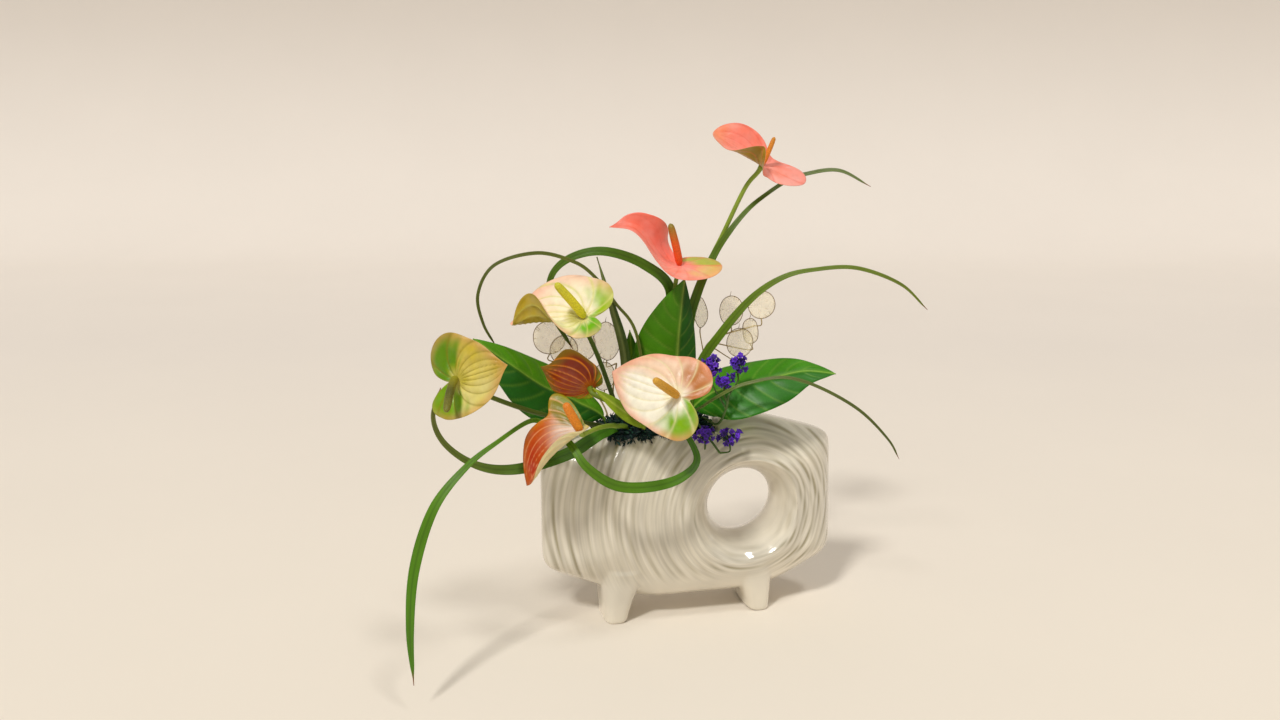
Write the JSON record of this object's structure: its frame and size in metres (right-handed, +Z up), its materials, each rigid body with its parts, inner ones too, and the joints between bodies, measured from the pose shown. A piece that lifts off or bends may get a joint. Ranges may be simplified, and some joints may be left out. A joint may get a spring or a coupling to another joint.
{
  "type": "ikebana arrangement",
  "caption": "Ikebana arrangement of anthuriums, broad leaves, looping lily grass, lunaria pods and statice in a footed ivory vase with a round through-hole",
  "frame": {"origin": "centre of the footprint of the whole arrangement's bounding box on the surface it stands on", "axes": "+X along the vase towards its through-hole, -Y the front that the flowers face, +Z up"},
  "size_m": [0.5, 0.2114, 0.4803],
  "materials": {
    "vase_glaze": "glossy ivory-white glaze over combed grooves",
    "foam": "crumbly matt floral foam",
    "moss": "matt dark teal moss",
    "spathe_1": "waxy pink spathe",
    "spathe_2": "waxy pink spathe with a lime lobe",
    "spathe_3": "waxy cream spathe with lime lobes and a blush edge",
    "spathe_4": "waxy yellow-cream quilted spathe with green lobes",
    "spathe_5": "waxy rust-red spathe, striped",
    "spathe_6": "waxy orange-red striped spathe with a white throat",
    "spathe_7": "waxy cream spathe with salmon and lime lobes",
    "spadix_1": "fine-grained orange-yellow spadix",
    "spadix_2": "fine-grained orange-red spadix",
    "spadix_3": "fine-grained lime-yellow spadix",
    "spadix_4": "fine-grained olive spadix",
    "spadix_5": "fine-grained yellow spadix",
    "spadix_6": "fine-grained orange spadix",
    "spadix_7": "fine-grained golden spadix",
    "flower_stem": "smooth green flower stem",
    "leaf_green": "glossy deep green leaf",
    "leaf_olive": "olive green leaf",
    "lily_grass": "satin green strap leaf",
    "lunaria_pod": "translucent papery pod membrane",
    "lunaria_stem": "dry straw-coloured stem",
    "statice_flower": "papery violet florets",
    "statice_stem": "rough green stem"
  },
  "bodies": {
    "root": {"anthurium_1_spadix": "spadix_1", "anthurium_1_spathe": "spathe_1", "anthurium_1_stem": "flower_stem", "anthurium_2_spadix": "spadix_2", "anthurium_2_spathe": "spathe_2", "anthurium_2_stem": "flower_stem", "anthurium_3_spadix": "spadix_3", "anthurium_3_spathe": "spathe_3", "anthurium_3_stem": "flower_stem", "anthurium_4_spadix": "spadix_4", "anthurium_4_spathe": "spathe_4", "anthurium_4_stem": "flower_stem", "anthurium_5_spadix": "spadix_5", "anthurium_5_spathe": "spathe_5", "anthurium_5_stem": "flower_stem", "anthurium_6_spadix": "spadix_6", "anthurium_6_spathe": "spathe_6", "anthurium_6_stem": "flower_stem", "anthurium_7_spadix": "spadix_7", "anthurium_7_spathe": "spathe_7", "anthurium_7_stem": "flower_stem", "floral_foam": "foam", "leaf_back": "leaf_green", "leaf_left": "leaf_green", "leaf_olive": "leaf_olive", "leaf_right": "leaf_green", "leaf_spear": "leaf_green", "leaf_upright": "leaf_green", "lunaria_stem_left": "lunaria_stem", "lunaria_stem_middle": "lunaria_stem", "lunaria_stem_right": "lunaria_stem", "moss": "moss", "pod_left_1": "lunaria_pod", "pod_left_2": "lunaria_pod", "pod_left_3": "lunaria_pod", "pod_middle_1": "lunaria_pod", "pod_middle_2": "lunaria_pod", "pod_right_1": "lunaria_pod", "pod_right_2": "lunaria_pod", "pod_right_3": "lunaria_pod", "pod_right_4": "lunaria_pod", "pod_right_5": "lunaria_pod", "statice_head_1": "statice_flower", "statice_head_2": "statice_flower", "statice_head_3": "statice_flower", "statice_head_4": "statice_flower", "statice_head_5": "statice_flower", "statice_stem_lower": "statice_stem", "statice_stem_upper": "statice_stem", "strap_long_loop": "lily_grass", "strap_middle_right": "lily_grass", "strap_return_loop": "lily_grass", "strap_thin_arch": "lily_grass", "strap_thin_right": "lily_grass", "strap_top_right": "lily_grass", "strap_wide_arch": "lily_grass", "vase": "vase_glaze"}
  },
  "joints": []
}
